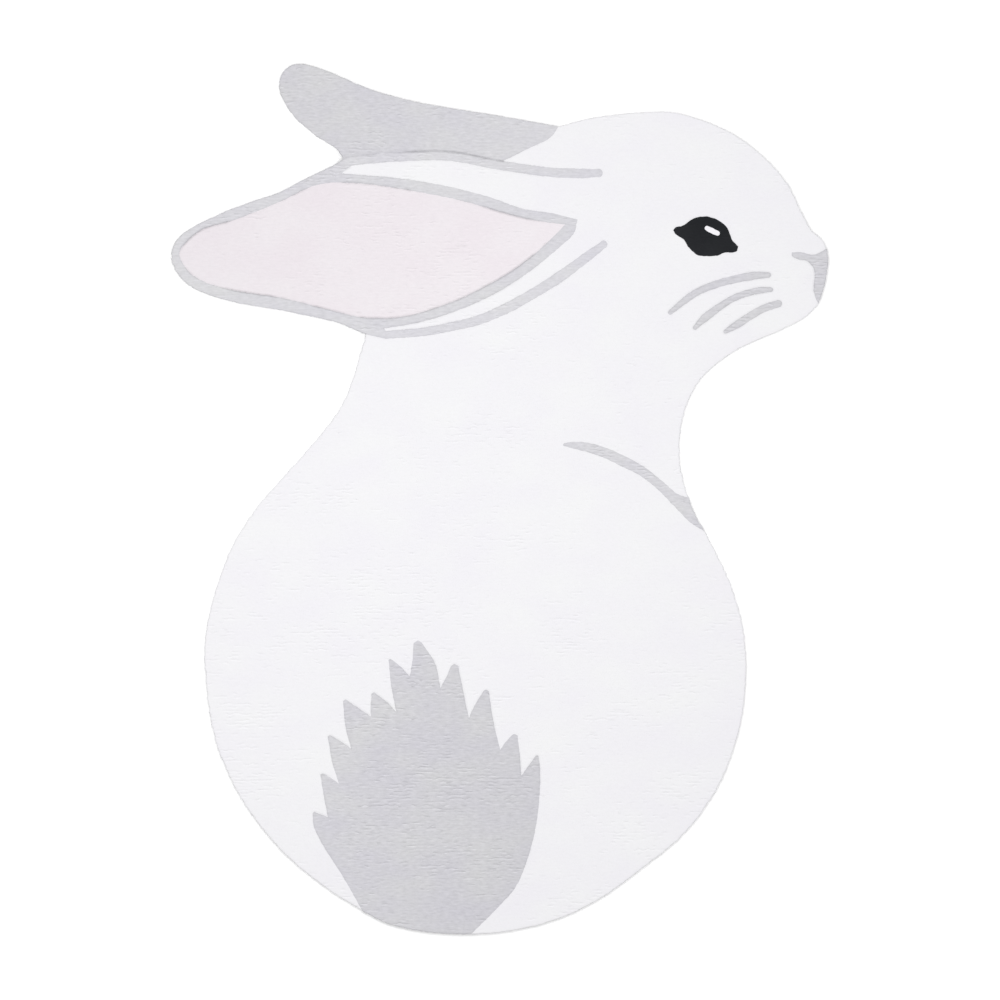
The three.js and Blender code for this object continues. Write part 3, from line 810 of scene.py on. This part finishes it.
def cloth_material():
    """Plain weave: threads over and under each other, a little uneven in tone."""
    material, shader = new_material("base_cloth", CLOTH_ROUGHNESS, CLOTH_SHEEN)
    tree = material.node_tree
    place = add_node(tree, "ShaderNodeTexCoord").outputs["Object"]
    turns = 2 * math.pi / (THREAD_PITCH * MM)
    x, y, _ = add_node(tree, "ShaderNodeSeparateXYZ", {0: place}).outputs
    warp = add_math(tree, "SINE", add_math(tree, "MULTIPLY", x, turns))
    weft = add_math(tree, "SINE", add_math(tree, "MULTIPLY", y, turns))
    weave = add_math(tree, "MULTIPLY", warp, weft)
    slubs = add_noise(tree, place, SLUB_SIZE, stretch=3)
    dark, pale = CLOTH_TONES
    tones = {"Factor": slubs, 6: (*dark, 1), 7: (*pale, 1)}
    tone = add_node(tree, "ShaderNodeMix", tones, data_type="RGBA").outputs[2]
    light = add_math(tree, "MULTIPLY_ADD", weave, WEAVE_SHADE, 1 - WEAVE_SHADE)
    shaded = add_node(tree, "ShaderNodeVectorMath", {0: tone, 3: light}, operation="SCALE")
    tree.links.new(shaded.outputs["Vector"], shader.inputs["Base Color"])
    bump = {"Height": weave, "Strength": 0.4, "Distance": 0.0004}
    tree.links.new(add_node(tree, "ShaderNodeBump", bump).outputs["Normal"], shader.inputs["Normal"])
    return material


def make_floor():
    corners = np.array([(-1, -1, 0), (1, -1, 0), (1, 1, 0), (-1, 1, 0)]) * FLOOR_HALF_SIZE / MM
    floor = add_mesh("floor", corners, np.array([(0, 1, 2), (0, 2, 3)]))
    floor.location.z = -FLOOR_GAP
    material, shader = new_material("floor_paper", FLOOR_ROUGHNESS, 0)
    shader.inputs["Base Color"].default_value = (*FLOOR_COLOUR, 1)
    floor.data.materials.append(material)


def make_lights():
    """Soft light from all round, a broad lamp overhead and a weak one from the upper right."""
    world = bpy.data.worlds.new("studio")
    world.use_nodes = True
    world.node_tree.nodes["Background"].inputs["Color"].default_value = (1, 1, 1, 1)
    world.node_tree.nodes["Background"].inputs["Strength"].default_value = 0.9
    bpy.context.scene.world = world
    overhead = bpy.data.lights.new("overhead", "AREA")
    overhead.size = 0.9
    overhead.energy = 22
    lamp = bpy.data.objects.new("overhead", overhead)
    lamp.location = (-0.2, 0.15, 2.2)
    bpy.context.scene.collection.objects.link(lamp)
    slanting = bpy.data.lights.new("slanting", "SUN")
    slanting.angle = math.radians(20)
    slanting.energy = 0.3
    lamp = bpy.data.objects.new("slanting", slanting)
    lamp.rotation_euler = Vector((0.5, 0.4, 0.8)).to_track_quat("Z", "Y").to_euler()
    bpy.context.scene.collection.objects.link(lamp)


def make_camera():
    """A long lens straight above the rug, as far up as fits the photograph's width of floor."""
    data = bpy.data.cameras.new("camera")
    data.lens = LENS
    distance = VIEW_WIDTH * data.lens / data.sensor_width
    data.clip_end = 100
    camera = bpy.data.objects.new("camera", data)
    camera.location = (*VIEW_CENTRE, distance + THICKNESS * MM)
    bpy.context.scene.collection.objects.link(camera)
    bpy.context.scene.camera = camera


def main():
    scene = bpy.context.scene
    scene.view_settings.view_transform = "Standard"
    drawn_edge = rug_edge()
    fit = fit_to_cad(drawn_edge)
    smooth_edge = fit(drawn_edge)
    edge = ragged(unsteady(smooth_edge))
    areas, lines = [], []
    for drawing in (ear_drawing, face_drawing, body_drawing):
        more_areas, more_lines = drawing()
        areas += [(*shades, unsteady(fit(area))) for *shades, area in more_areas]
        lines += [(depth, unsteady(fit(path))) for depth, path in more_lines]
    pile = make_pile(edge, areas, lines)

    materials = {name: pile_material("yarn_" + name, *yarn) for name, yarn in YARNS.items()}
    pieces = []
    zone = white_zone(pile)
    for number, (name, _) in enumerate(WHITE_ZONES):
        chosen = (pile["colours"] == COLOURS.index("white")) & (zone == number)
        pieces.append(add_pile(name, pile, chosen, materials["white"]))
    for colour in COLOURS[1:]:
        chosen = pile["colours"] == COLOURS.index(colour)
        name = "pile_" + colour
        pieces.append(add_pile(name, pile, chosen, materials[colour]))

    cloth = make_base_cloth(smooth_edge)
    cloth.data.materials.append(cloth_material())
    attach(cloth, "root")
    for piece in [cloth, *pieces]:
        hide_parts("rug")
    make_floor()
    make_lights()
    make_camera()


main()
